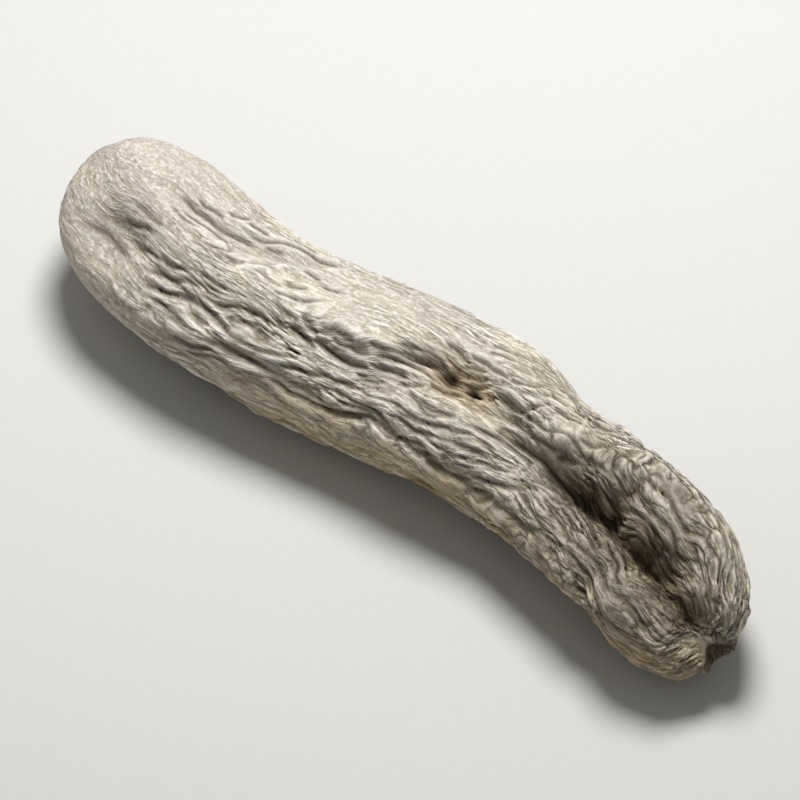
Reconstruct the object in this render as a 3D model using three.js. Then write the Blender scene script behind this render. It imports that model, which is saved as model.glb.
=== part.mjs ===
// A dried gastrodia tuber: one root tuber, shrunk hard in drying, slightly flattened and bent in a gentle S.
// It lies on its flat side, with its blunt head towards -X, its two-lobed tail towards +X and its broad,
// furrowed face up. Everything is in millimetres, and the origin is under the middle of its box.
// The skin is one closed surface. An oval section travels along a bent spine, a dome closes each end,
// and the relief of folds, wrinkles and scars is pushed in or out along the bare form's normal.
import * as THREE from "three";
import { mergeVertices } from "three/addons/utils/BufferGeometryUtils.js";

// Driving dimensions.
const LENGTH = 108; // the spine's full run, of which the head's dome starts a little late
const STATION_STEP = 12; // between the sections below, counted from the spine's start
const HEAD_START = 1.7;
const HEAD_DOME = 16.5;
const TAIL_DOME = 13;
const DOME_POWER = 2.2; // 2 is an ellipse, and more is blunter
const MEAN_RADIUS = 10.5; // turns an angle round the section into a distance over the skin
const BOX_CENTRE = { x: 0.93, y: 0.538 };

// The sections, one every STATION_STEP along the spine.
const SIDE_BEND = [1.3, -1.7, -2.9, -1.8, 1.3, 3.7, 4.4, 3.7, 1.9, -1.2];
const MIDDLE_HEIGHT = [11.2, 9.8, 9.0, 9.2, 9.7, 9.7, 9.1, 8.5, 8.0, 7.6];
const HALF_WIDTH = [9.9, 10.8, 11.3, 11.2, 11.4, 11.2, 10.4, 9.7, 9.5, 9.5];
const HALF_THICKNESS = [9.2, 9.4, 9.5, 9.1, 8.8, 8.8, 8.8, 8.9, 8.6, 8.2];

// A smooth curve through evenly spaced values, read at a place counted in steps.
function along(values, place) {
  const last = values.length - 1;
  const t = Math.min(Math.max(place, 0), last - 1e-9);
  const i = Math.floor(t);
  const f = t - i;
  const [a, b, c, d] = [i - 1, i, i + 1, i + 2].map((k) => values[Math.min(Math.max(k, 0), last)]);
  return b + 0.5 * f * (c - a + f * (2 * a - 5 * b + 4 * c - d + f * (3 * (b - c) + d - a)));
}

const clamp01 = (x) => Math.min(Math.max(x, 0), 1);
const smooth = (low, high, x) => {
  const t = clamp01((x - low) / (high - low));
  return t * t * (3 - 2 * t);
};
const bell = (x) => Math.exp(-x * x);

// A dome's radius, from 0 at its pole to 1 where it meets the body, and how fast that grows.
function dome(depth, length) {
  const rest = 1 - Math.min(Math.max(depth / length, 1e-6), 1);
  const radius = (1 - rest ** DOME_POWER) ** (1 / DOME_POWER);
  return { radius, growth: (rest / radius) ** (DOME_POWER - 1) / length };
}

// The share of the full section that the tuber has at s, and its slope along the spine.
function swell(s) {
  const head = dome(s - HEAD_START, HEAD_DOME);
  const tail = dome(LENGTH - s, TAIL_DOME);
  return {
    radius: head.radius * tail.radius,
    slope: head.growth * tail.radius - tail.growth * head.radius,
  };
}

const BEND_REACH = 0.004; // the spine's direction is taken over this share of a step to each side

// The bare form at s along the spine and at an angle round the section, 0 towards +Y and a quarter turn up.
function bareForm(s, angle) {
  const place = s / STATION_STEP;
  const centre = new THREE.Vector3(s - LENGTH / 2, along(SIDE_BEND, place), along(MIDDLE_HEIGHT, place));
  const rise = along(SIDE_BEND, place + BEND_REACH) - along(SIDE_BEND, place - BEND_REACH);
  const bend = rise / (2 * BEND_REACH * STATION_STEP);
  const forward = new THREE.Vector3(1, bend, 0).normalize();
  const sideways = new THREE.Vector3(-forward.y, forward.x, 0);
  const up = new THREE.Vector3(0, 0, 1);
  const width = along(HALF_WIDTH, place);
  const thickness = along(HALF_THICKNESS, place);
  const { radius, slope } = swell(s);
  const y = radius * width * Math.cos(angle);
  const z = radius * thickness * Math.sin(angle);
  const point = centre.clone().addScaledVector(sideways, y).addScaledVector(up, z);
  const normal = forward
    .clone()
    .multiplyScalar(-slope)
    .addScaledVector(sideways, Math.cos(angle) / width)
    .addScaledVector(up, Math.sin(angle) / thickness)
    .normalize();
  return { point, normal, y, z, radius };
}

// Swellings and hollows of the shrunken flesh: where along, where round (from the top, + towards +Y),
// how far they reach each way, and their height.
const SWELLINGS = [
  { at: [15.0, -7.0], reach: [6.5, 4.0], height: -1.7 }, // hollow in the head's face
  { at: [14.0, -14.5], reach: [9, 3.6], height: 0.6 }, // the head's rounded rim beside it
  { at: [12.0, 4.5], reach: [8, 5], height: 0.5 },
  { at: [34.0, 8.0], reach: [12, 4], height: 0.5 }, // long smooth shoulder
  { at: [65.0, 10.0], reach: [7, 6], height: 1.1 }, // hump on the outer edge
  { at: [73.5, 13.5], reach: [4, 6], height: -1.0 }, // nick behind it
  { at: [90.0, 8.0], reach: [12, 4.5], height: 1.3 }, // the tail's upper lobe
  { at: [93.0, -11.0], reach: [12, 4.5], height: 0.9 }, // the tail's lower lobe
  { at: [48.0, -24.0], reach: [9, 5], height: 0.7 },
  { at: [30.0, 24.0], reach: [8, 5], height: -0.9 },
  { at: [58.0, 26.0], reach: [10, 5], height: 0.8 },
  { at: [77.7, 0.7], reach: [1.4, 1.4], height: 0.4 }, // a dormant bud, standing out as a bead
];

// Dormant buds that dried back to small brown pits, on the ring that one of them shows on the face.
const BUD_PITS = [
  { at: [60.4, -1.6], reach: [1.8, 1.3], height: -1.6 },
  { at: [64.0, -1.8], reach: [1.0, 0.9], height: -0.9 },
  { at: [60.0, 19.5], reach: [1.5, 1.2], height: -0.9 },
  { at: [62.5, -20.5], reach: [1.4, 1.2], height: -0.9 },
  { at: [59.0, 30.5], reach: [1.5, 1.3], height: -0.8 },
  { at: [27.0, 20.0], reach: [1.4, 1.1], height: -0.8 },
  { at: [30.0, -27.0], reach: [1.4, 1.1], height: -0.8 },
];

// Folds that run along the tuber, one value every FOLD_STEP from the start: where they lie round the
// section, their depth and their half width.
const FOLD_STEP = 6;
const FOLDS = [
  {
    start: 12, // crease along the shoulder
    round: [0.6, 1.8, 2.4, 3.0, 5.4, 8.0],
    depth: [0.2, 0.8, 0.9, 0.9, 0.7, 0.2],
    halfWidth: [1.2, 1.4, 1.5, 1.5, 1.3, 1.2],
  },
  {
    start: 30, // crease above the lower edge
    round: [-12.2, -10.9, -10.9, -12.4, -10.9, -12.2],
    depth: [0.2, 0.7, 0.8, 0.9, 1.0, 0.2],
    halfWidth: [0.9, 1.0, 1.1, 1.1, 1.0, 0.9],
  },
  {
    start: 60,
    round: [-11.6, -13.0, -12.8, -12.4, -12.8],
    depth: [0.2, 0.7, 0.8, 0.7, 0.2],
    halfWidth: [1.0, 1.1, 1.2, 1.2, 1.0],
  },
  {
    start: 44, // ribs and creases that gather at the first bud pit
    round: [-0.8, -1.7, -1.6, -1.4],
    depth: [0.2, 0.8, 0.9, 0.3],
    halfWidth: [0.7, 0.7, 0.6, 0.6],
  },
  {
    start: 46,
    round: [-4.1, -3.2, -2.3],
    depth: [0.3, 0.8, 0.4],
    halfWidth: [0.6, 0.6, 0.6],
  },
  {
    start: 14, // hidden side, towards +Y
    round: [17.5, 19.0, 18.4, 19.6, 21.0, 20.0, 18.6, 19.4],
    depth: [0.2, 1.1, 1.5, 1.4, 1.3, 1.1, 0.8, 0.2],
    halfWidth: [1.6, 1.9, 2.1, 2.1, 2.0, 1.8, 1.6, 1.4],
  },
  {
    start: 62,
    round: [23.0, 21.4, 21.0, 22.2, 21.6, 20.4],
    depth: [0.2, 1.0, 1.5, 1.5, 1.1, 0.4],
    halfWidth: [1.5, 1.8, 2.0, 2.0, 1.8, 1.5],
  },
  {
    start: 20, // near side, under the lower edge
    round: [-21.0, -22.6, -21.8, -20.6, -21.4, -23.0, -23.6],
    depth: [0.2, 0.8, 1.1, 1.0, 0.9, 0.6, 0.2],
    halfWidth: [1.5, 1.7, 1.9, 1.9, 1.7, 1.6, 1.4],
  },
  {
    start: 70,
    round: [-20.0, -21.6, -22.4, -21.8, -21.0],
    depth: [0.2, 1.0, 1.2, 0.9, 0.2],
    halfWidth: [1.5, 1.8, 1.9, 1.8, 1.5],
  },
  {
    start: 22, // valley along the underside, which parts the flesh that it rests on
    round: [33.0, 31.8, 31.0, 32.0, 33.4, 34.0, 33.0, 32.2, 32.8, 33.4, 33.8, 33.4, 33.0],
    depth: [0.2, 0.7, 1.1, 1.3, 1.4, 1.5, 1.6, 1.6, 1.8, 2.0, 2.0, 1.8, 1.2],
    halfWidth: [2.0, 2.6, 3.0, 3.2, 3.2, 3.2, 3.2, 3.0, 3.0, 3.0, 3.0, 2.8, 2.6],
  },
];

// The valley down the middle of the face, one value every FOLD_STEP. It opens into a deep groove that
// parts the tail into two lobes and runs out over the blunt end. It is placed across the section.
const VALLEY_START = 8;
const VALLEY_ACROSS = [
  -8.2, -7.2, -7.4, -7.0, -6.0, -5.6, -5.6, -5.7, -3.8, -2.1, -2.4, -3.5, -3.6, -3.4, -3.1, -2.6, -2.4, -2.4,
];
const VALLEY_DEPTH = [
  0.3, 0.8, 0.9, 1.0, 1.1, 1.3, 1.5, 1.4, 1.2, 0.9, 1.4, 2.6, 4.2, 5.3, 6.0, 6.2, 5.2, 4.0,
];
const VALLEY_HALF_WIDTH = [
  1.8, 2.0, 2.2, 2.6, 3.0, 3.2, 3.2, 3.0, 2.6, 2.2, 2.0, 2.2, 2.8, 3.4, 3.8, 4.1, 3.8, 3.2,
];
const VALLEY_FLOOR = [-3, 3]; // down the blunt end, it fades between these heights from the spine

// The creases that catch the eye on the face. Each is led through the places, along and round, where it lies.
const CREASES = [
  { depth: 0.7, halfWidth: 0.8, places: [[9.6, -11.6], [13.5, -9.1], [17.2, -8.9], [19.5, -9.4]] },
  { depth: 0.6, halfWidth: 0.7, places: [[14.4, 1.4], [19.8, 2.5], [26, 3.2], [31.5, 2]] },
  { depth: 0.5, halfWidth: 0.7, places: [[23.4, 5], [29.8, 5], [36, 6.3], [41.5, 6.3]] },
  { depth: 0.8, halfWidth: 0.7, places: [[20.5, -10.2], [27.7, -7.4], [33.2, -8.9], [42.5, -7.8]] },
  { depth: 0.9, halfWidth: 0.7, places: [[27, -6.1], [30, -6.4], [34.2, -4.9], [38, -5.1]] },
  { depth: 0.7, halfWidth: 0.7, places: [[26.6, -13], [30.3, -12.7], [33.5, -11.9], [39, -11.7]] },
  { depth: 1.0, halfWidth: 0.7, places: [[40.5, -3.8], [45.2, -5.8], [51.2, -5.9]] },
  { depth: 0.5, halfWidth: 0.7, places: [[38.5, -9.5], [43.7, -9.3], [52, -8]] },
  { depth: 0.8, halfWidth: 0.7, places: [[37.9, -11.7], [45.8, -13.7], [50.8, -10.4], [58.2, -12.4]] },
  { depth: 0.8, halfWidth: 0.6, places: [[47.5, -3.2], [52.6, -2.3], [60.3, -1]] },
  { depth: 0.8, halfWidth: 0.6, places: [[50.8, -5.2], [58, -3.7]] },
  { depth: 0.6, halfWidth: 0.7, places: [[55.6, -8.8], [61.5, -8.3], [69, -6.2]] },
  { depth: 0.7, halfWidth: 0.7, places: [[62, -12.3], [66.6, -13.7], [71, -11.7]] },
  { depth: 0.6, halfWidth: 0.7, places: [[64.5, -8.2], [68.2, -8.7], [72.5, -7.5]] },
  { depth: 0.8, halfWidth: 0.7, places: [[69.5, -11.9], [76.4, -9.2], [79.2, -7.5]] },
  { depth: 0.8, halfWidth: 0.8, places: [[69.5, -3.2], [78.2, -2.8], [83, -4.6]] },
  { depth: 0.6, halfWidth: 0.7, places: [[82, -12], [88, -10.4], [95, -11.9]] },
  { depth: 0.7, halfWidth: 0.7, places: [[85, -9.8], [92.2, -9.1], [95, -10], [103.5, -10.4]] },
  { depth: 0.5, halfWidth: 0.7, places: [[86, 2.5], [91.7, 2.3], [100, 2.6]] },
];
const CREASE_END = 3; // a crease rises out of the skin over this run at each end

// The scars at the two ends: a round navel at the head, a rough stem scar at the tail. Each is a dish
// inside a low rim, round a point given across and up from the spine.
const SCARS = [
  { atHead: true, across: 0.8, up: -1.6, rim: 2.7, rimHeight: 0.45, dish: 0.9 },
  { atHead: false, across: 0.6, up: -1.4, rim: 2.2, rimHeight: 0.5, dish: 1.1 },
];
const SCAR_REACH = 12; // an end's scar shapes only the skin within this run of the spine

// Distance round the skin between two places, by the shorter way.
const SKIN_ROUND = 2 * Math.PI * MEAN_RADIUS;
function apart(a, b) {
  const d = (a - b) / SKIN_ROUND;
  return (d - Math.round(d)) * SKIN_ROUND;
}

function swellingsAt(s, round, radius) {
  let height = 0;
  for (const { at, reach, height: h } of [...SWELLINGS, ...BUD_PITS]) {
    height += h * bell((s - at[0]) / reach[0]) * bell((radius * apart(round, at[1])) / reach[1]);
  }
  return height;
}

// A fold's section at x half widths from its floor: a hollow 1 deep, with a soft lip on each side.
const LIP_SHARE = 0.22;
const LIP_PLACE = 1.9;
const trough = (x) => LIP_SHARE * (bell(x - LIP_PLACE) + bell(x + LIP_PLACE)) - bell(x);

function foldsAt(s, round, radius) {
  let height = 0;
  for (const fold of FOLDS) {
    const place = (s - fold.start) / FOLD_STEP;
    const last = fold.round.length - 1;
    if (place < 0 || place > last) continue;
    const ends = smooth(0, 0.5, place) * smooth(0, 0.5, last - place);
    const x = (radius * apart(round, along(fold.round, place))) / along(fold.halfWidth, place);
    height += along(fold.depth, place) * ends * trough(x);
  }
  return height;
}

function creasesAt(s, round, radius) {
  let height = 0;
  for (const { depth, halfWidth, places } of CREASES) {
    const next = places.findIndex(([at]) => at > s);
    if (next < 1) continue;
    const [[startS, startRound], [endS, endRound]] = [places[next - 1], places[next]];
    const climb = (endRound - startRound) / (endS - startS);
    const off = (radius * apart(round, startRound + climb * (s - startS))) / Math.hypot(1, climb);
    const ends = smooth(0, CREASE_END, s - places[0][0]) * smooth(0, CREASE_END, places.at(-1)[0] - s);
    height += depth * ends * trough(off / halfWidth);
  }
  return height;
}

function valleyAt(s, y, z) {
  const place = (s - VALLEY_START) / FOLD_STEP;
  if (place < 0) return 0;
  const x = (y - along(VALLEY_ACROSS, place)) / along(VALLEY_HALF_WIDTH, place);
  return along(VALLEY_DEPTH, place) * smooth(0, 1, place) * smooth(...VALLEY_FLOOR, z) * trough(x);
}

const DISH_FLOOR = 0.45; // a scar's dish is flat out to this share of its rim
const RIM_PLACE = 1.05;
const RIM_WIDTH = 0.28;
const SCAR_FADE = 0.4; // and its shape holds over this share of its reach, then fades
function scarsAt(s, y, z) {
  let height = 0;
  for (const scar of SCARS) {
    const fromEnd = scar.atHead ? s - HEAD_START : LENGTH - s;
    if (fromEnd > SCAR_REACH) continue;
    const r = Math.hypot(y - scar.across, z - scar.up) / scar.rim;
    const dish = -scar.dish * (1 - smooth(DISH_FLOOR, 1, r));
    const rim = scar.rimHeight * bell((r - RIM_PLACE) / RIM_WIDTH);
    height += (dish + rim) * (1 - smooth(SCAR_FADE * SCAR_REACH, SCAR_REACH, fromEnd));
  }
  return height;
}

// Smooth noise in space, about -1 to 1, the same on every run.
const EDGES = [
  [1, 1, 0], [-1, 1, 0], [1, -1, 0], [-1, -1, 0], [1, 0, 1], [-1, 0, 1],
  [1, 0, -1], [-1, 0, -1], [0, 1, 1], [0, -1, 1], [0, 1, -1], [0, -1, -1],
];
const MIXERS = [374761393, 668265263, 1274126177, 974634777]; // they scramble a cell's place and its seed
const LAST_MIXER = 1103515245;
function corner(...cell) {
  let n = cell.reduce((mixed, number, i) => mixed ^ Math.imul(number, MIXERS[i]), 0);
  n = Math.imul(n ^ (n >>> 13), LAST_MIXER);
  return EDGES[((n ^ (n >>> 16)) >>> 0) % EDGES.length];
}
const ease = (t) => t * t * t * (t * (t * 6 - 15) + 10);
const mix = (a, b, t) => a + (b - a) * t;
function noise(x, y, z, seed) {
  const [i, j, k] = [Math.floor(x), Math.floor(y), Math.floor(z)];
  const [u, v, w] = [x - i, y - j, z - k];
  const pull = (a, b, c) => {
    const [ex, ey, ez] = corner(i + a, j + b, k + c, seed);
    return ex * (u - a) + ey * (v - b) + ez * (w - c);
  };
  const side = (c) =>
    mix(mix(pull(0, 0, c), pull(1, 0, c), ease(u)), mix(pull(0, 1, c), pull(1, 1, c), ease(u)), ease(v));
  return mix(side(0), side(1), ease(w));
}

// Wrinkles of the shrunken skin. Noise is stretched along the tuber and bent from side to side; where it
// changes sign the skin has a crease, and between two creases it stands up as a rounded ridge.
const SWAY = [
  { run: 18, across: 9, by: 1.4, seed: 11 },
  { run: 8, across: 4, by: 0.4, seed: 12 },
];
const RISE_SEED = 50; // parts the noise that sways a ridge up and down from the one that sways it across
const RIDGES = [
  { run: 26, across: 5.4, height: 1.0, seed: 1 },
  { run: 15, across: 2.0, height: 1.9, seed: 2 },
];
const CREASE_POWER = 0.7; // under 1 the creases are sharper than the ridges
const MEAN_RIDGE = 0.34; // taken off, so that the wrinkles neither swell the tuber nor shrink it
const KNOBS = { run: 4.5, across: 2.2, height: 1.3, seed: 7 }; // the tail's skin is knobbly as well
const TAIL_CALM = 0.35; // where it is, the long ridges are lower by this share
const LUMPS = { run: 21, across: 9, height: 1.1, seed: 5 }; // uneven shrinking of the flesh below

// Where the skin is smoother: along and round, how far it reaches, and by what share.
const CALM = [
  { at: [34, 5.5], reach: [20, 6], share: 0.5 },
  { at: [50, 3.0], reach: [10, 3.5], share: 0.4 },
  { at: [45, -17.0], reach: [28, 4], share: 0.6 },
  { at: [66, -4.0], reach: [7, 2.6], share: 0.6 },
  { at: [66, 9.0], reach: [9, 6], share: 0.4 },
];
const HEAD_WRINKLING = 0.2; // the share that is left on the smooth head
const HEAD_ENDS = [12, 30]; // where along the tuber that grows to the whole

function wrinkling(s, round) {
  let strength = mix(HEAD_WRINKLING, 1, smooth(...HEAD_ENDS, s));
  for (const { at, reach, share } of CALM) {
    strength *= 1 - share * bell((s - at[0]) / reach[0]) * bell(apart(round, at[1]) / reach[1]);
  }
  return strength;
}

const TAIL_START = [70, 96]; // the knobs come in between these places along the tuber
function wrinklesAt(s, round, y, z) {
  let [across, up] = [y, z];
  for (const { run, across: wide, by, seed } of SWAY) {
    across += by * noise(s / run, y / wide, z / wide, seed);
    up += by * noise(s / run, y / wide, z / wide, seed + RISE_SEED);
  }
  let height = 0;
  for (const { run, across: wide, height: h, seed } of RIDGES) {
    height += h * (Math.abs(noise(s / run, across / wide, up / wide, seed)) ** CREASE_POWER - MEAN_RIDGE);
  }
  const knob = Math.abs(noise(s / KNOBS.run, across / KNOBS.across, up / KNOBS.across, KNOBS.seed));
  const tail = smooth(...TAIL_START, s);
  height += tail * (KNOBS.height * (knob ** CREASE_POWER - MEAN_RIDGE) - TAIL_CALM * height);
  const lump = LUMPS.height * noise(s / LUMPS.run, y / LUMPS.across, z / LUMPS.across, LUMPS.seed);
  return lump + wrinkling(s, round) * height;
}

// A point of the finished skin. Near a pole the relief that is counted round the skin fades out.
const POLE_FADE = 0.4;
function skin(s, angle) {
  const bare = bareForm(s, angle);
  const round = (Math.PI / 2 - angle) * MEAN_RADIUS;
  const nearBody = smooth(0, POLE_FADE, bare.radius);
  const relief =
    nearBody * (swellingsAt(s, round, bare.radius) + foldsAt(s, round, bare.radius)) +
    nearBody * creasesAt(s, round, bare.radius) +
    valleyAt(s, bare.y, bare.z) +
    wrinklesAt(s, round, bare.y, bare.z) +
    scarsAt(s, bare.y, bare.z);
  const point = bare.point.addScaledVector(bare.normal, relief);
  point.z = Math.max(point.z, 0); // what would reach below the surface that it rests on is pressed flat
  return point;
}

// Places along the spine that lie evenly over the skin, from pole to pole, for a run of the skin's length.
const PROFILE_STEPS = 4000;
const PROFILE = [];
for (let i = 0, run = 0, before = null; i <= PROFILE_STEPS; i++) {
  const turn = (1 - Math.cos((Math.PI * i) / PROFILE_STEPS)) / 2;
  const s = HEAD_START + turn * (LENGTH - HEAD_START);
  const here = new THREE.Vector2(s, MEAN_RADIUS * swell(s).radius);
  run += before ? here.distanceTo(before) : 0;
  PROFILE.push({ s, run });
  before = here;
}
const PROFILE_RUN = PROFILE[PROFILE_STEPS].run;
function placeAfter(run) {
  const i = Math.max(PROFILE.findIndex((p) => p.run >= run), 1);
  const [a, b] = [PROFILE[i - 1], PROFILE[i]];
  return mix(a.s, b.s, clamp01((run - a.run) / (b.run - a.run)));
}

// The mesh: a square net bent over each pole, so that no vertex gathers a fan of thin faces, and rings
// between the two nets.
const NET = 28; // squares along a net's side; a ring has four times as many
const NET_REACH = 11; // from a pole to its net's edge, over the skin
const RINGS = 38;
const AROUND = 4 * NET;

// The corner (i, j) of a net: how far it is from the pole, as a share, and its angle round the section.
function netCorner(i, j) {
  const [a, b] = [(2 * i) / NET - 1, (2 * j) / NET - 1];
  const out = Math.max(Math.abs(a), Math.abs(b));
  if (out === 0) return { out, angle: 0 };
  const quarter = Math.PI / 4;
  const angle =
    Math.abs(a) >= Math.abs(b)
      ? quarter * (b / a) + (a < 0 ? Math.PI : 0)
      : quarter * (2 - a / b) + (b < 0 ? Math.PI : 0);
  return { out, angle };
}

const corners = [];
function addPatch(columns, rows, pointAt, turned) {
  for (let i = 0; i < columns; i++) {
    for (let j = 0; j < rows; j++) {
      const [a, b, c, d] = [pointAt(i, j), pointAt(i + 1, j), pointAt(i + 1, j + 1), pointAt(i, j + 1)];
      const faces = turned ? [a, c, b, a, d, c] : [a, b, c, a, c, d];
      for (const p of faces) corners.push(p.x, p.y, p.z);
    }
  }
}

const wholeAngle = (angle) => Math.atan2(Math.sin(angle), Math.cos(angle));
const headNet = (i, j) => {
  const { out, angle } = netCorner(i, j);
  return skin(placeAfter(out * NET_REACH), wholeAngle(angle));
};
const tailNet = (i, j) => {
  const { out, angle } = netCorner(i, j);
  return skin(placeAfter(PROFILE_RUN - out * NET_REACH), wholeAngle(angle));
};
const ring = (i, j) => {
  const run = NET_REACH + (i / RINGS) * (PROFILE_RUN - 2 * NET_REACH);
  return skin(placeAfter(run), wholeAngle(Math.PI * (2 * (j / AROUND) - 0.25)));
};
addPatch(NET, NET, headNet, true);
addPatch(RINGS, AROUND, ring, true);
addPatch(NET, NET, tailNet, false);

const loose = new THREE.BufferGeometry();
loose.setAttribute("position", new THREE.Float32BufferAttribute(corners, 3));
const geometry = mergeVertices(loose, 1e-3);
geometry.translate(-BOX_CENTRE.x, -BOX_CENTRE.y, 0);
geometry.computeVertexNormals();

const driedSkin = new THREE.MeshStandardMaterial({ color: 0xb4a992, roughness: 0.88, metalness: 0 });
const tuber = new THREE.Mesh(geometry, driedSkin);
tuber.name = "tuber";

const part = new THREE.Group();
part.add(tuber);
export default part;
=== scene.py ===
import itertools
import math

import bpy
import numpy as np
from mathutils import Matrix, Vector


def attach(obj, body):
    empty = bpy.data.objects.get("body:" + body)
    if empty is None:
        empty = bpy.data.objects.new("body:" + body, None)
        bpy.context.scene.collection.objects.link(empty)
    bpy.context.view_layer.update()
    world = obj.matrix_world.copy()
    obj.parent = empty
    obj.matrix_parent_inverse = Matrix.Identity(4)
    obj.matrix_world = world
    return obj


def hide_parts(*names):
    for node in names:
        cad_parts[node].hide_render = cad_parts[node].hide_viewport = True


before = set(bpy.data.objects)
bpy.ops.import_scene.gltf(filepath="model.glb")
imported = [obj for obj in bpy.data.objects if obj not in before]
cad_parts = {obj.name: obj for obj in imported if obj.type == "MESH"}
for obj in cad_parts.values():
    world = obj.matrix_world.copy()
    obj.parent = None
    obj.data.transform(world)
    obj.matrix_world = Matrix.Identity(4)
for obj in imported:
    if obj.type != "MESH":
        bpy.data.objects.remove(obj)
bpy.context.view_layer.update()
MM = 0.001

# The flesh of the tuber. It is one piece, grown whole, then steamed and dried until it is hard and
# shrunken: an oval section along a bent spine, with a dome at each end and a deep cleft down the tail.
# The names and values of the form are those of the solid, in millimetres.
LENGTH = 108
STATION_STEP = 12
HEAD_START = 1.7
HEAD_DOME = 16.5
TAIL_DOME = 13
DOME_POWER = 2.2
MEAN_RADIUS = 10.5
BOX_CENTRE = (0.93, 0.538)
SIDE_BEND = [1.3, -1.7, -2.9, -1.8, 1.3, 3.7, 4.4, 3.7, 1.9, -1.2]
MIDDLE_HEIGHT = [11.2, 9.8, 9.0, 9.2, 9.7, 9.7, 9.1, 8.5, 8.0, 7.6]
HALF_WIDTH = [9.9, 10.8, 11.3, 11.2, 11.4, 11.2, 10.4, 9.7, 9.5, 9.5]
HALF_THICKNESS = [9.2, 9.4, 9.5, 9.1, 8.8, 8.8, 8.8, 8.9, 8.6, 8.2]


def along(values, place):
    """A smooth curve through evenly spaced values, read at a place counted in steps."""
    values = np.asarray(values, float)
    last = len(values) - 1
    t = np.clip(place, 0, last - 1e-9)
    i = np.floor(t).astype(int)
    f = t - i
    a, b, c, d = (values[np.clip(i + k, 0, last)] for k in (-1, 0, 1, 2))
    return b + 0.5 * f * (c - a + f * (2 * a - 5 * b + 4 * c - d + f * (3 * (b - c) + d - a)))


def smooth(low, high, x):
    t = np.clip((x - low) / (high - low), 0, 1)
    return t * t * (3 - 2 * t)


def bell(x):
    return np.exp(-x * x)


def mix(a, b, t):
    return a + (b - a) * t


def dome(depth, length):
    """A dome's radius, 0 at its pole and 1 where it meets the body, and how fast that grows."""
    rest = 1 - np.clip(depth / length, 1e-6, 1)
    radius = (1 - rest**DOME_POWER) ** (1 / DOME_POWER)
    return radius, (rest / radius) ** (DOME_POWER - 1) / length


def swell(s):
    """The share of the full section at s along the spine, and its slope."""
    head, head_growth = dome(s - HEAD_START, HEAD_DOME)
    tail, tail_growth = dome(LENGTH - s, TAIL_DOME)
    return head * tail, head_growth * tail - tail_growth * head


def bare_form(s, angle):
    """The form before any relief: points, normals, places across and up, and the share of swell."""
    place = s / STATION_STEP
    reach = 0.004
    bend = along(SIDE_BEND, place + reach) - along(SIDE_BEND, place - reach)
    bend /= 2 * reach * STATION_STEP
    forward = np.stack([np.ones_like(bend), bend, np.zeros_like(bend)], -1)
    forward /= np.linalg.norm(forward, axis=-1, keepdims=True)
    sideways = np.stack([-forward[:, 1], forward[:, 0], np.zeros_like(bend)], -1)
    up = np.array([0.0, 0.0, 1.0])
    width = along(HALF_WIDTH, place)
    thickness = along(HALF_THICKNESS, place)
    radius, slope = swell(s)
    across = radius * width * np.cos(angle)
    height = radius * thickness * np.sin(angle)
    centre = np.stack([s - LENGTH / 2, along(SIDE_BEND, place), along(MIDDLE_HEIGHT, place)], -1)
    points = centre + sideways * across[:, None] + up * height[:, None]
    normals = (
        forward * -slope[:, None]
        + sideways * (np.cos(angle) / width)[:, None]
        + up * (np.sin(angle) / thickness)[:, None]
    )
    normals /= np.linalg.norm(normals, axis=-1, keepdims=True)
    return points, normals, across, height, radius


# The relief of the shrunken flesh: swellings and hollows, dried buds, long folds, the cleft that parts
# the tail, and the scars at the two ends. It follows the solid, but the furrow and some folds down the
# face are shallower and the bead beside the cleft rounder. Places are along, then round from the top.
BEAD = (77.7, -0.3)
SWELLINGS = [  # place, reach, height
    ((15.0, -7.0), (6.5, 4.0), -1.7),
    ((14.0, -14.5), (9, 3.6), 0.6),
    ((12.0, 4.5), (8, 5), 0.5),
    ((34.0, 8.0), (12, 4), 0.5),
    ((65.0, 10.0), (7, 6), 1.1),
    ((73.5, 13.5), (4, 6), -1.0),
    ((90.0, 8.0), (12, 4.5), 1.3),
    ((93.0, -11.0), (12, 4.5), 0.9),
    ((48.0, -24.0), (9, 5), 0.7),
    ((30.0, 24.0), (8, 5), -0.9),
    ((58.0, 26.0), (10, 5), 0.8),
    (BEAD, (1.2, 1.2), 1.05),
    ((48.5, -3.4), (7.5, 2.3), 0.8),
]
BUD_PITS = [  # place, reach, height
    ((60.4, -1.6), (1.7, 1.2), -1.7),
    ((64.0, -1.8), (1.0, 0.9), -1.2),
    ((60.0, 19.5), (1.5, 1.2), -0.9),
    ((62.5, -20.5), (1.4, 1.2), -0.9),
    ((59.0, 30.5), (1.5, 1.3), -0.8),
    ((27.0, 20.0), (1.4, 1.1), -0.8),
    ((30.0, -27.0), (1.4, 1.1), -0.8),
]
FOLD_STEP = 6
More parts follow.
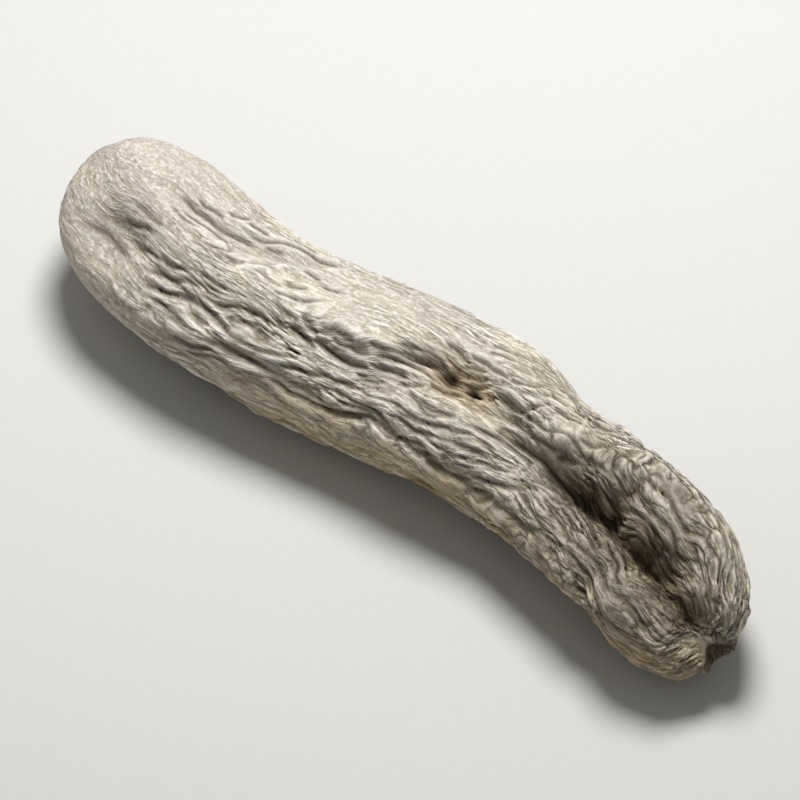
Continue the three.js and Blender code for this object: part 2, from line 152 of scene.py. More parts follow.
FOLDS = [  # start, then places round, depths and half widths, one every FOLD_STEP
    (12, [0.6, 1.8, 2.4, 3.0, 5.4, 8.0], [0.2, 0.8, 0.9, 0.9, 0.7, 0.2], [1.2, 1.4, 1.5, 1.5, 1.3, 1.2]),
    (
        30,
        [-12.2, -10.9, -11.4, -12.9, -11.2, -12.2],
        [0.2, 0.6, 0.7, 0.6, 0.5, 0.2],
        [0.9, 1.0, 1.1, 1.1, 1.0, 0.9],
    ),
    (60, [-11.6, -13.0, -12.8, -12.4, -12.8], [0.2, 0.7, 0.8, 0.7, 0.2], [1.0, 1.1, 1.2, 1.2, 1.0]),
    (44, [-0.8, -1.7, -1.6, -1.4], [0.0, 0.1, 0.7, 0.3], [0.7, 0.7, 0.6, 0.6]),
    (46, [-4.1, -3.2, -2.3], [0.2, 0.6, 0.4], [0.6, 0.6, 0.6]),
    (
        14,
        [17.5, 19.0, 18.4, 19.6, 21.0, 20.0, 18.6, 19.4],
        [0.2, 1.1, 1.5, 1.4, 1.3, 1.1, 0.8, 0.2],
        [1.6, 1.9, 2.1, 2.1, 2.0, 1.8, 1.6, 1.4],
    ),
    (
        62,
        [23.0, 21.4, 21.0, 22.2, 21.6, 20.4],
        [0.2, 1.0, 1.5, 1.5, 1.1, 0.4],
        [1.5, 1.8, 2.0, 2.0, 1.8, 1.5],
    ),
    (
        20,
        [-21.0, -22.6, -21.8, -20.6, -21.4, -23.0, -23.6],
        [0.2, 0.8, 1.1, 1.0, 0.9, 0.6, 0.2],
        [1.5, 1.7, 1.9, 1.9, 1.7, 1.6, 1.4],
    ),
    (70, [-20.0, -21.6, -22.4, -21.8, -21.0], [0.2, 1.0, 1.2, 0.9, 0.2], [1.5, 1.8, 1.9, 1.8, 1.5]),
    (
        22,
        [33.0, 31.8, 31.0, 32.0, 33.4, 34.0, 33.0, 32.2, 32.8, 33.4, 33.8, 33.4, 33.0],
        [0.2, 0.7, 1.1, 1.3, 1.4, 1.5, 1.6, 1.6, 1.8, 2.0, 2.0, 1.8, 1.2],
        [2.0, 2.6, 3.0, 3.2, 3.2, 3.2, 3.2, 3.0, 3.0, 3.0, 3.0, 2.8, 2.6],
    ),
]
VALLEY_START = 8
VALLEY_ACROSS = [
    -8.2, -7.2, -7.4, -7.0, -6.0, -5.6, -5.6, -5.7, -3.8,
    -2.1, -2.4, -3.5, -3.6, -3.4, -3.1, -2.6, -2.4, -2.4,
]
VALLEY_DEPTH = [
    0.3, 0.8, 0.9, 1.0, 0.9, 0.7, 0.5, 0.6, 1.1,
    0.9, 1.4, 2.6, 4.2, 5.3, 6.0, 6.2, 5.2, 4.0,
]
VALLEY_HALF_WIDTH = [
    1.8, 2.0, 2.2, 2.5, 2.7, 2.7, 2.6, 2.5, 2.4,
    2.1, 2.0, 2.2, 2.8, 3.4, 3.8, 4.1, 3.8, 3.2,
]
VALLEY_FLOOR = (-3, 3)
VALLEY_WANDER = (5.0, 0.45, 0.3, 31)  # run, by how much to the side and in depth, seed
SCARS = [  # across, up, rim, rim height, dish, at the head or at the tail
    (0.8, -1.6, 2.7, 0.45, 0.9, True),
    (0.6, -1.4, 2.2, 0.5, 1.1, False),
]
SCAR_REACH = 12
SCAR_FADE = 0.4
RIM_PLACE = 1.05
RIM_WIDTH = 0.28
DISH_FLOOR = 0.45
LIP_SHARE = 0.22
LIP_PLACE = 1.9
SKIN_ROUND = 2 * math.pi * MEAN_RADIUS


def apart(a, b):
    """Distance round the skin between two places, by the shorter way."""
    d = (a - b) / SKIN_ROUND
    return (d - np.round(d)) * SKIN_ROUND


def swellings_at(s, around, radius):
    height = np.zeros_like(s)
    for (at_s, at_round), (reach_s, reach_round), h in SWELLINGS + BUD_PITS:
        height += h * bell((s - at_s) / reach_s) * bell(radius * apart(around, at_round) / reach_round)
    return height


def trough(x):
    """A fold's section: a hollow 1 deep at x = 0, with a soft lip on each side."""
    return LIP_SHARE * (bell(x - LIP_PLACE) + bell(x + LIP_PLACE)) - bell(x)


def folds_at(s, around, radius):
    height = np.zeros_like(s)
    for start, places, depths, half_widths in FOLDS:
        place = (s - start) / FOLD_STEP
        last = len(places) - 1
        ends = smooth(0, 0.5, place) * smooth(0, 0.5, last - place)
        x = radius * apart(around, along(places, place)) / along(half_widths, place)
        height += along(depths, place) * ends * trough(x)
    return height


def valley_at(s, across, up):
    place = (s - VALLEY_START) / FOLD_STEP
    run, by, deeper, seed = VALLEY_WANDER
    zero = np.zeros_like(s)
    x = (across - along(VALLEY_ACROSS, place)) / along(VALLEY_HALF_WIDTH, place)
    x += by * noise(s / run, across / run, zero, seed)
    depth = along(VALLEY_DEPTH, place) * (1 + deeper * noise(s / run, across / run, zero, seed + 1))
    return depth * smooth(0, 1, place) * smooth(*VALLEY_FLOOR, up) * trough(x)


def at_its_end(s, at_head):
    """1 at the end of the tuber that a scar is on, and 0 farther from it than SCAR_REACH."""
    from_end = s - HEAD_START if at_head else LENGTH - s
    return 1 - smooth(SCAR_FADE * SCAR_REACH, SCAR_REACH, from_end)


def scars_at(s, across, up):
    height = np.zeros_like(s)
    for scar_across, scar_up, rim, rim_height, dish, at_head in SCARS:
        r = np.hypot(across - scar_across, up - scar_up) / rim
        shape = rim_height * bell((r - RIM_PLACE) / RIM_WIDTH) - dish * (1 - smooth(DISH_FLOOR, 1, r))
        height += shape * at_its_end(s, at_head)
    return height


# The broad wrinkles of the skin over that flesh, much as in the solid, but lower and with narrower
# knobs, because the fine ones lie on them. Noise is stretched along the tuber and swayed from side to
# side: where it changes sign lies a crease, and between are ridges.
NOISE_EDGES = np.array(
    [
        (1, 1, 0), (-1, 1, 0), (1, -1, 0), (-1, -1, 0), (1, 0, 1), (-1, 0, 1),
        (1, 0, -1), (-1, 0, -1), (0, 1, 1), (0, -1, 1), (0, 1, -1), (0, -1, -1),
    ],
    float,
)
NOISE_PRIMES = (374761393, 668265263, 1274126177)
SEED_PRIME = 974634777
MIXER = 1103515245
WORD = 0xFFFFFFFF
SWAY = [(18, 9, 1.4, 11), (8, 4, 0.4, 12)]  # run, across, by how much, seed
RISE_SEED = 50  # parts the noise that sways a ridge up and down from the one that sways it across
RIDGES = [(26, 5.4, 0.8, 1), (15, 2.0, 0.45, 2)]  # run, across, height, seed
CREASE_POWER = 0.7
MEAN_RIDGE = 0.34
KNOBS = (3.2, 1.4, 0.35, 7)  # run, across, height, seed
TAIL_START = (70, 96)  # the knobs come in between these places along the tuber
TAIL_CALM = 0.35  # the share of the ridges that the knobs take away
LUMPS = (21, 9, 1.1, 5)  # run, across, height, seed


def noise(x, y, z, seed):
    """Smooth noise in space, about -1 to 1, the same on every run and the same as the solid's."""
    cell = np.floor(np.stack([x, y, z], -1)).astype(np.int64)
    part = np.stack([x, y, z], -1) - cell
    ease = part**3 * (part * (part * 6 - 15) + 10)
    total = np.zeros_like(x)
    for corner in itertools.product((0, 1), repeat=3):
        n = (seed * SEED_PRIME) & WORD
        weight = np.ones_like(x)
        for axis in range(3):
            n = n ^ (((cell[:, axis] + corner[axis]) * NOISE_PRIMES[axis]) & WORD)
            weight *= ease[:, axis] if corner[axis] else 1 - ease[:, axis]
        n = ((n ^ (n >> 13)) * MIXER) & WORD
        edge = NOISE_EDGES[(n ^ (n >> 16)) % len(NOISE_EDGES)]
        total += weight * (edge * (part - np.array(corner))).sum(-1)
    return total


CALM = [  # where the skin is smoother: along and round, how far it reaches, and by how much
    ((34, 5.5), (20, 6), 0.8),
    ((50, 3.0), (10, 3.5), 0.6),
    ((45, -17.0), (28, 4), 0.3),
    ((64, -5.0), (5, 2.2), 0.6),
    (BEAD, (2.2, 2.2), 0.85),
    ((42.5, 0.3), (7, 2.6), 0.7),
    ((46, -0.8), (6, 1.6), 0.7),
]
HEAD_WRINKLING = 0.2
HEAD_ENDS = (12, 30)


def off_the_head(s):
    """How strongly the skin is wrinkled along the tuber, before the calm patches."""
    return mix(HEAD_WRINKLING, 1, smooth(*HEAD_ENDS, s))


def wrinkling(s, around):
    """How strongly the skin is wrinkled: softly on the head and in the calm patches."""
    strength = off_the_head(s)
    for (at_s, at_round), (reach_s, reach_round), share in CALM:
        strength *= 1 - share * bell((s - at_s) / reach_s) * bell(apart(around, at_round) / reach_round)
    return strength


def wrinkles_at(s, around, across, up):
    """The broad wrinkles' height: swayed ridges, the tail's knobs, and lumps of the flesh below."""
    y = across.copy()
    z = up.copy()
    for run, wide, by, seed in SWAY:
        y += by * noise(s / run, across / wide, up / wide, seed)
        z += by * noise(s / run, across / wide, up / wide, seed + RISE_SEED)
    height = np.zeros_like(s)
    for run, wide, h, seed in RIDGES:
        height += h * (np.abs(noise(s / run, y / wide, z / wide, seed)) ** CREASE_POWER - MEAN_RIDGE)
    run, wide, h, seed = KNOBS
    knob = np.abs(noise(s / run, across / wide, up / wide, seed))
    tail = smooth(*TAIL_START, s)
    height += tail * (h * (knob**CREASE_POWER - MEAN_RIDGE) - TAIL_CALM * height)
    run, wide, h, seed = LUMPS
    return h * noise(s / run, across / wide, up / wide, seed) + wrinkling(s, around) * height


# The creases that catch the eye. They are thin, and the finish paints them dark, partly their own brown
# and partly painted shade. Each is led through the places, along and round, where it lies on the face.
# The fine wrinkles beside them run the same way.
CREASES = [  # depth, half width, places
    (0.41, 0.37, [(16.1, 1.4), (17.6, 2), (20.8, 2.5), (23.6, 2.8), (26.6, 3.4), (30.3, 3.8)]),
    (0.34, 0.33, [(18, 0.2), (20.8, 0.8), (23.9, 1.1), (25.4, 1.3), (26.5, 2), (28, 2.9)]),
    (0.2, 0.31, [(17, -0.4), (19.8, -0.2), (21.4, -0.1), (23.6, -0.1)]),
    (0.34, 0.33, [(25, 4.5), (28.6, 4.6), (31.4, 6.1), (32.9, 6.9), (36.4, 7.1), (39, 7.4), (41.5, 7)]),
    (0.27, 0.33, [(17.8, 3.4), (20.6, 3.4), (22.1, 3.8), (24.4, 3.9)]),
    (0.31, 0.33, [(25, 6), (27.6, 6.1), (30, 6.1)]),
    (0.31, 0.33, [(22.4, 4.8), (24.4, 5.7), (26, 7)]),
    (0.24, 0.31, [(29.3, 4.4), (31.5, 4.8), (33.6, 5.4)]),
    (0.31, 0.31, [(30.6, 8.8), (33.2, 8.4), (35.4, 7.9), (37, 7.4)]),
    (0.29, 0.28, [(34, -1.1), (37.6, -1.2), (38.9, -1.1), (40.2, -0.6), (42.8, 0.4)]),
    (0.27, 0.3, [(36, 3.5), (38, 3.2), (40.4, 3)]),
    (0.27, 0.3, [(39.2, 2.2), (41.5, 2), (43.8, 2)]),
    (0.24, 0.27, [(35.2, 0.2), (37.7, 0.4), (39.8, 0.9)]),
    (0.22, 0.27, [(25.6, -0.9), (28.4, -0.7), (30.6, -0.3)]),
    (0.22, 0.34, [(12.5, -3.6), (15.8, -3), (18.5, -2.7), (21, -2.9)]),
    (0.29, 0.34, [(13.5, -5.8), (15.3, -5.3), (18, -4.1), (20, -3.7)]),
    (0.3, 0.8, [(9.6, -11.6), (11.6, -10), (13.5, -9.1), (15, -8.8), (17.2, -8.9), (19.5, -9.4)]),
    (0.29, 0.34, [(16, -7.3), (18.5, -6.6), (20.5, -5.9), (23, -5.7), (25, -4.9), (27.5, -4.7)]),
    (0.38, 0.39, [(20, -8.3), (23.2, -7.3), (24.8, -6.6), (26, -5.8), (28.5, -5.5)]),
    (0.55, 0.44, [(20.5, -10.2), (22.4, -9.6), (24.8, -8.6), (26.4, -8), (27.7, -7.4), (29.3, -7.4),
                  (31.1, -7.9), (33.2, -8.9), (36, -9), (38.2, -8.8), (40, -8.3), (42.5, -7.8)]),
    (0.65, 0.54, [(27, -6.1), (30, -6.4), (31.6, -5.7), (32.9, -5.1), (34.2, -4.9), (36, -4.7),
                  (38, -5.1)]),
    (0.36, 0.39, [(31.2, -7.8), (32.4, -7.2), (33.6, -6.4), (35.8, -6.5), (38, -6.8)]),
    (0.29, 0.39, [(21.9, -11), (24, -10.4), (27.2, -10.3), (30, -10.9)]),
    (0.42, 0.48, [(26.6, -13), (28.5, -13), (30.3, -12.7), (31.6, -12.3), (33.5, -11.9)]),
    (0.42, 0.48, [(29, -14.2), (31.9, -13.2), (34, -12.6), (36, -12.8)]),
    (0.46, 0.68, [(30.5, -10.6), (33, -10.5), (35.5, -10.7), (38, -10.9), (39.5, -11.5)]),
    (0.36, 0.39, [(38.5, -9.5), (40.5, -9.6), (43.7, -9.3), (46, -8.6), (48, -8.7), (50, -8.5),
                  (52, -8)]),
    (0.5, 0.5, [(38.6, -3.7), (40, -4.5), (41.1, -4.8), (43, -5.7)]),
    (0.4, 0.5, [(39.6, -2.4), (41.6, -3.5), (43.4, -4.1)]),
    (0.8, 0.6, [(41.6, -4.6), (43.8, -5), (45.3, -5.5), (47.3, -5.8), (48.8, -5.9), (50.5, -5.5),
                (51.6, -5.2)]),
    (0.6, 0.6, [(42, -3.6), (44, -3.2), (45.4, -3), (46.5, -3.2), (48.5, -3.9)]),
    (0.5, 0.5, [(43.7, -3.4), (46.1, -4.2), (47.6, -4.2), (49.4, -4.3), (51, -3.8)]),
    (0.75, 0.55, [(48.4, -3.4), (50.4, -2.8), (53, -2.1), (56.1, -1.5), (57.6, -1.1), (60, -0.5)]),
    (0.55, 0.6, [(51.6, -1), (54.2, -0.7), (57.1, -0.4), (60, -0.6)]),
    (0.6, 0.5, [(49.6, -4.2), (51.9, -3.2), (53.5, -3), (55, -2.7), (57.8, -2.9), (60, -3)]),
    (0.6, 0.5, [(49.8, -4.9), (52.5, -4.5), (54.5, -4.5), (56.4, -4.2)]),
    (0.35, 0.36, [(48.8, -6.9), (51.2, -6.7), (53.6, -6.7)]),
    (0.3, 0.32, [(54, -5.9), (56.5, -5.1), (59, -4)]),
    (0.3, 0.4, [(55.2, -5.5), (58.1, -6.5), (60.3, -7.3), (61.9, -7.3), (64.4, -5.8)]),
    (0.45, 0.45, [(57.6, -3.5), (59.9, -3.9), (61.6, -3.6), (64, -2.6)]),
    (0.5, 0.45, [(56.6, 2.1), (58.9, 1.8), (60.3, 1.2), (62, 0.5)]),
    (0.45, 0.36, [(60.2, 0), (62.2, 0.6), (64.6, 1.3)]),
    (0.45, 0.36, [(60.8, -0.8), (62.8, -0.1), (65.2, 0.6)]),
    (0.45, 0.36, [(61.4, -1.4), (63.4, -0.8), (65.8, -0.2)]),
    (0.5, 0.45, [(59.6, 2.3), (61, 2.1), (63.7, 2), (66.2, 1.8), (67.6, 1.7)]),
    (0.42, 0.42, [(61.4, 3.6), (62.5, 4), (63.5, 4.7), (65.4, 5)]),
    (0.42, 0.4, [(65.8, 2), (67, 2), (68.4, 2.3), (69.5, 3.3), (70.8, 5.2)]),
    (0.6, 0.5, [(65.4, 0), (66.3, -0.2), (68.8, -0.7), (70.2, -0.5), (71.2, 0.2), (71.8, 1.2),
                (73.6, 2.2)]),
    (0.55, 0.5, [(73, 2.1), (75, 2.5), (76, 2.9), (78, 3)]),
    (0.4, 0.42, [(68.4, -1.7), (71.3, -1.4), (74.2, -1)]),
    (0.4, 0.4, [(78.2, 0.8), (80.2, 1.6), (81.2, 2.4), (81.5, 3.8), (82.5, 5.8)]),
    (0.3, 0.35, [(70, 4.6), (72.3, 4.2), (74.7, 4.7)]),
    (0.28, 0.35, [(77.4, 2.6), (78.8, 4.3), (79.8, 5.8)]),
    (0.4, 0.42, [(77.2, -2.2), (79.3, -1.4), (81.2, -0.2)]),
    (0.35, 0.38, [(74.6, 0.1), (76.3, -0.8), (77, -1.8)]),
    (0.3, 0.38, [(75.6, 6.5), (78.2, 6.6), (80.5, 7.2)]),
    (0.29, 0.39, [(56.6, -7), (59.3, -6.5), (60.8, -6.7), (63, -6.3), (66, -5.6)]),
    (0.42, 0.41, [(55.6, -8.8), (58.7, -8.9), (60.3, -8.7), (61.5, -8.3), (63.2, -7.9),
                  (65.6, -7.5), (67.4, -6.7), (69, -6.2)]),
    (0.36, 0.39, [(54.5, -9.7), (57.2, -9.4), (60, -10), (62, -9.8), (65, -9.2)]),
    (0.42, 0.48, [(64.5, -8.2), (66.6, -8.8), (68.2, -8.7), (70, -8), (72.5, -7.5)]),
    (0.36, 0.39, [(66, -10.4), (68.2, -10), (69.8, -9.5), (71.4, -8.8), (73.7, -8.4), (75.5, -7.6)]),
    (0.49, 0.48, [(69.5, -11.9), (70.8, -11.3), (73, -10.7), (75, -9.8), (76.4, -9.2), (77.3, -8.4),
                  (79.2, -7.5)]),
    (0.49, 0.44, [(37.9, -11.7), (40, -12.2), (41.8, -12.9), (43.9, -13.4), (45.8, -13.8),
                  (48, -13.6), (49.8, -12.9), (51.8, -12.3), (53.9, -11.7)]),
    (0.36, 0.4, [(50.8, -10.4), (53.2, -9.9), (55.5, -10.5), (57, -11.4), (58.2, -12.4)]),
    (0.29, 0.39, [(49.2, -13.2), (51, -12.1), (52.6, -11.6), (54.2, -11.5), (56, -12)]),
    (0.36, 0.39, [(57.4, -12.2), (59, -11.8), (61.5, -11.4), (64, -11.2)]),
    (0.42, 0.44, [(62, -12.3), (64.5, -13.4), (66.6, -13.7), (68.2, -13.2), (69.8, -12.6),
                  (71, -11.7)]),
    (0.6, 0.5, [(65.8, -5.6), (68.7, -5.4), (71.8, -4.8), (74.5, -4.6), (77, -4.4)]),
    (0.55, 0.6, [(68.4, -4.2), (70.5, -4), (73.3, -3.3), (76.5, -3.1), (80.5, -3.9), (83, -4.6)]),
    (0.32, 0.34, [(67.5, -1.6), (71, -1.8), (74, -1.7), (78, -1.4), (82, -0.6)]),
    (0.32, 0.34, [(69, -0.4), (74, -0.6), (79, 0.4), (83, 0.9), (87, 0.6)]),
    (0.36, 0.39, [(86, 2.5), (88, 2.5), (91.7, 2.3), (94.2, 2.4), (97, 2.2), (100, 2.6)]),
    (0.32, 0.39, [(88, 4.5), (92, 4.4), (94, 3.9), (96, 3.7), (98, 4.2)]),
    (0.32, 0.34, [(84, 0), (88, 0.5), (92, 0.9), (96, 0.6)]),
    (0.42, 0.44, [(85, -9.8), (86.7, -9.3), (88.5, -9), (92.2, -9.1), (93.6, -10), (95, -10),
                  (98, -9.4), (101, -9.6), (103.5, -10.4)]),
    (0.42, 0.48, [(82, -12), (83.5, -11.2), (86, -11), (88, -10.4), (91, -10.4), (93, -11.3),
                  (95, -11.9)]),
    (0.36, 0.39, [(89, -6.6), (92.5, -7.6), (94, -8.6), (96, -8.6), (99, -7.8)]),
]
CREASE_STEEP = 1.3
CREASE_END = 3.5  # how long a crease's ends taper
CREASE_END_SHARE = 0.35  # but on a short one no more than this share of its length
CREASE_END_WIDTH = 0.5  # the share of its width that is left at the tips
CREASE_LIP = 0.5
CREASE_LIP_WIDTH = 0.8
# the creases' dark is partly their brown and partly painted shade: the deeper a crease, the darker
DARK_DEPTH = 0.3  # a crease as deep as this is fully dark
BESIDE_DEPTH = (0.1, 0.5)  # between these depths it comes to smooth the skin beside it
BESIDE_REACH = 2.4
CORNER_SOFT = 0.6
CLIMB_STEP = 0.5
CREASE_WOBBLE = (2.4, 0.35, 21)  # run, by how much, seed


def crease_path(places, s):
    """Where a crease lies round the skin at s, with its corners softened."""
    at_s, at_round = zip(*places)
    return sum(np.interp(s + step, at_s, at_round) for step in (-CORNER_SOFT, 0, CORNER_SOFT)) / 3


def climb_of(places, s):
    """How fast a crease moves round the skin as it runs along it."""
    ahead = crease_path(places, s + CLIMB_STEP)
    behind = crease_path(places, s - CLIMB_STEP)
    return (ahead - behind) / (2 * CLIMB_STEP)


def marked_creases_at(s, around, radius):
    """The marked creases' height, how dark they paint each point, partly as painted shade, and how near it
    lies to one.
    """
    lips = np.zeros_like(s)
    hollow = np.zeros_like(s)
    line = np.zeros_like(s)
    beside = np.zeros_like(s)
    run, by, seed = CREASE_WOBBLE
    wobbled = around + by * noise(s / run, around / run, np.zeros_like(s), seed)
    for depth, half_width, places in CREASES:
        start, end = places[0][0], places[-1][0]
        near = (s > start) & (s < end)
        here = s[near]
        taper = min(CREASE_END, CREASE_END_SHARE * (end - start))
        ends = smooth(0, taper, here - start) * smooth(0, taper, end - here)
        off = radius[near] * (wobbled[near] - crease_path(places, here))
        off /= np.hypot(1, climb_of(places, here))
        x = np.abs(off) / (half_width * mix(CREASE_END_WIDTH, 1, ends))
        lips[near] += CREASE_LIP * depth * ends * LIP_SHARE * bell((x - LIP_PLACE) / CREASE_LIP_WIDTH)
        hollow[near] = np.maximum(hollow[near], depth * ends * np.exp(-(x**CREASE_STEEP)))
        line[near] = np.maximum(line[near], smooth(0, DARK_DEPTH, depth * ends) * np.exp(-x))
        close = smooth(*BESIDE_DEPTH, depth * ends) * bell(x / BESIDE_REACH)
        beside[near] = np.maximum(beside[near], close)
    return lips - hollow, line, beside


# The lay of the wrinkles: each point's place round the skin, followed back along the wrinkles to the
# head. It is worked out on a net of its own, ring after ring, from how the marked creases run.
LAY_STEP = 0.5
LAY_HALF = 34.0  # a little more than half the way round the skin
LAY_REACH = 1.6  # how far to each side a crease leads the lay
LAY_BEYOND = 2.0  # and how far past its ends
LAY_RELAX = 16.0  # the length over which the lay comes back to straight
STRAIGHT_SHARE = 0.12  # how strongly it runs straight on where no crease leads it

lay_s = np.arange(0, LENGTH + LAY_STEP, LAY_STEP)
lay_round = np.arange(-LAY_HALF, LAY_HALF + LAY_STEP / 2, LAY_STEP)
lay_rows = [lay_round]
for here in lay_s[1:]:
    climb = np.zeros_like(lay_round)
    weight = np.full_like(lay_round, STRAIGHT_SHARE)
    for depth, half_width, places in CREASES:
        beyond = max(places[0][0] - here, here - places[-1][0], 0)
        pull = depth * bell((lay_round - crease_path(places, here)) / LAY_REACH)
        pull *= bell(beyond / LAY_BEYOND)
        inside = min(max(here, places[0][0] + CLIMB_STEP), places[-1][0] - CLIMB_STEP)
        climb += pull * climb_of(places, inside)
        weight += pull
    before = np.interp(lay_round - climb / weight * LAY_STEP, lay_round, lay_rows[-1])
    lay_rows.append(before + (lay_round - before) * LAY_STEP / LAY_RELAX)
lay_grid = np.array(lay_rows)


def lay_at(s, around):
    """The lay, read between the four points of its net that lie round each place."""
    row = np.clip(s / LAY_STEP, 0, len(lay_s) - 1.001)
    column = np.clip((around + LAY_HALF) / LAY_STEP, 0, len(lay_round) - 1.001)
    i, j = row.astype(int), column.astype(int)
    f, g = row - i, column - j
    this_row = mix(lay_grid[i, j], lay_grid[i, j + 1], g)
    next_row = mix(lay_grid[i + 1, j], lay_grid[i + 1, j + 1], g)
    return mix(this_row, next_row, f)


# The skin's net. A square net is bent over each pole, so that no vertex gathers a fan of thin faces,
# and rings lie between the two. It keeps each point's place, for the patterns that follow the skin.
POLE_FADE = 0.4  # the relief is whole once the section has grown to this share
NET = 62  # faces along each side of a square net
NET_REACH = 9  # and how far the net reaches over the skin from its pole
RINGS = 355
AROUND = 4 * NET
FIRST_TURN = 0.25  # in half turns, so that each ring starts at a corner of the square nets
PROFILE_STEPS = 4000
DENSER = 0.3  # the net's points lie closer together on the face than underneath, by this share

turn = (1 - np.cos(math.pi * np.arange(PROFILE_STEPS + 1) / PROFILE_STEPS)) / 2
profile_s = HEAD_START + turn * (LENGTH - HEAD_START)
profile_step = np.hypot(np.diff(profile_s), MEAN_RADIUS * np.diff(swell(profile_s)[0]))
profile_run = np.concatenate([[0], np.cumsum(profile_step)])
whole_run = profile_run[-1]

ring_run = NET_REACH + np.arange(RINGS + 1) / RINGS * (whole_run - 2 * NET_REACH)
ring_angle = math.pi * (2 * np.arange(AROUND) / AROUND - FIRST_TURN)
ring_index = np.arange((RINGS + 1) * AROUND).reshape(RINGS + 1, AROUND)
next_index = np.roll(ring_index, -1, axis=1)
runs = [np.repeat(ring_run, AROUND)]
angles = [np.tile(ring_angle, RINGS + 1)]
quads = [np.stack([ring_index[:-1], next_index[:-1], next_index[1:], ring_index[1:]], -1).reshape(-1, 4)]
vertex_count = (RINGS + 1) * AROUND
side = 2 * np.arange(NET + 1) / NET - 1
a, b = np.meshgrid(side, side, indexing="ij")
out = np.maximum(np.abs(a), np.abs(b))
by_a = np.abs(a) >= np.abs(b)
lean = np.divide(np.where(by_a, b, a), np.where(by_a, a, b), out=np.zeros_like(a), where=out > 0)
cap_angle = np.where(
    by_a,
    math.pi / 4 * lean + np.where(a < 0, math.pi, 0),
    math.pi / 4 * (2 - lean) + np.where(b < 0, math.pi, 0),
)
on_edge = out == 1
edge_column = np.rint((cap_angle[on_edge] / math.pi + FIRST_TURN) / 2 * AROUND).astype(int) % AROUND
for at_head in (True, False):
    index = np.zeros((NET + 1, NET + 1), int)
    index[on_edge] = ring_index[0 if at_head else -1][edge_column]
    index[~on_edge] = vertex_count + np.arange((~on_edge).sum())
    vertex_count += (~on_edge).sum()
    from_pole = out[~on_edge] * NET_REACH
    runs.append(from_pole if at_head else whole_run - from_pole)
    angles.append(cap_angle[~on_edge])
    cap = np.stack([index[:-1, :-1], index[1:, :-1], index[1:, 1:], index[:-1, 1:]], -1).reshape(-1, 4)
    quads.append(cap[:, ::-1] if at_head else cap)

skin_run = np.concatenate(runs)
angle = np.concatenate(angles)
angle += DENSER * np.cos(angle)
angle = np.arctan2(np.sin(angle), np.cos(angle))
faces = np.concatenate(quads)
s = np.interp(skin_run, profile_run, profile_s)
points, normals, across, up, radius = bare_form(s, angle)
around = apart((math.pi / 2 - angle) * MEAN_RADIUS, 0)
near_body = smooth(0, POLE_FADE, radius)
hollows = near_body * (swellings_at(s, around, radius) + folds_at(s, around, radius))
hollows += valley_at(s, across, up)
creases = wrinkles_at(s, around, across, up) + scars_at(s, across, up)
marked_height, marked, beside = marked_creases_at(s, around, radius)
creases += near_body * marked_height
relief = hollows + creases
points += normals * relief[:, None]
points[:, 2] = np.maximum(points[:, 2], 0)
points[:, :2] -= BOX_CENTRE

skin_mesh = bpy.data.meshes.new("tuber_skin")
skin_mesh.from_pydata((points * MM).tolist(), [], faces.tolist())
skin_mesh.polygons.foreach_set("use_smooth", np.ones(len(faces), bool))


def store(name, kind, values):
    """Keeps a number or a vector for each point, under a name that the nodes read."""
    attribute = skin_mesh.attributes.new(name, kind, "POINT")
    key = "value" if kind == "FLOAT" else "vector"
    attribute.data.foreach_set(key, np.ascontiguousarray(values, np.float32).ravel())


# Where the skin changes. Each point keeps its places, for the patterns to follow, and how far it lies in
# a bud, a stain, a scar, the groove or a calm patch, for the fine wrinkles and the finish to read.
BUD_SIZE = 1.15
STAIN_SIZE = 2.1
STAIN_LONGER = 1.4
SCAR_EDGE = (0.9, 1.5)
WIDENING = (84, 100)  # the lay is spread out where the tail narrows to its pole
WIDENING_POWER = 0.75
LEAST_RADIUS = 0.1
ROUNDING = (80, 96)  # and there it runs over the dome, instead of along the spine
RUN_AHEAD = 2.0
HEAD_LINES_END = (14, 26)  # stretches along the tuber over which its skin changes
TAIL_LINES_START = (66, 82)
GROOVE_START = (74, 84)
TIP_START = (92, 102)
UPPER_SIDE = (0, 5)
VALLEY_REACH = 1.4
GROOVE_REACH = 1.3
BEAD_REACH = 1.6

bud = np.zeros_like(s)
stain = np.zeros_like(s)
for (at_s, at_round), (reach_s, reach_round), _ in BUD_PITS:
    pit_along = (s - at_s) / reach_s
    pit_round = radius * apart(around, at_round) / reach_round
    bud += bell(np.hypot(pit_along, pit_round) / BUD_SIZE)
    stain += bell(np.hypot(pit_along / STAIN_LONGER, pit_round) / STAIN_SIZE)
scar = np.zeros_like(s)
for scar_across, scar_up, rim, rim_height, dish, at_head in SCARS:
    from_scar = np.hypot(across - scar_across, up - scar_up) / rim
    scar += (1 - smooth(*SCAR_EDGE, from_scar)) * at_its_end(s, at_head)
lay_across, lay_up = bare_form(s, math.pi / 2 - lay_at(s, around) / MEAN_RADIUS)[2:4]
widened = mix(1, np.maximum(radius, LEAST_RADIUS) ** -WIDENING_POWER, smooth(*WIDENING, s))
lay_across *= widened
lay_up *= widened
lay_along = mix(s, skin_run - RUN_AHEAD, smooth(*ROUNDING, s))
store("place", "FLOAT_VECTOR", np.stack([s, across, up], -1))
store("lay", "FLOAT_VECTOR", np.stack([lay_along, lay_across, lay_up], -1))
store("spot", "FLOAT_VECTOR", np.stack([s, around, np.zeros_like(s)], -1))
store("relief", "FLOAT", relief)
store("bud", "FLOAT", np.clip(bud, 0, 1))
store("stain", "FLOAT", np.clip(stain, 0, 1))
store("scar", "FLOAT", np.clip(scar, 0, 1))
valley_place = (s - VALLEY_START) / FOLD_STEP
from_valley = (across - along(VALLEY_ACROSS, valley_place)) / along(VALLEY_HALF_WIDTH, valley_place)
on_top = smooth(*UPPER_SIDE, up)
in_valley = bell(from_valley / VALLEY_REACH) * on_top
groove = bell(from_valley / GROOVE_REACH) * smooth(*GROOVE_START, s) * on_top
on_body = smooth(*HEAD_LINES_END, s)
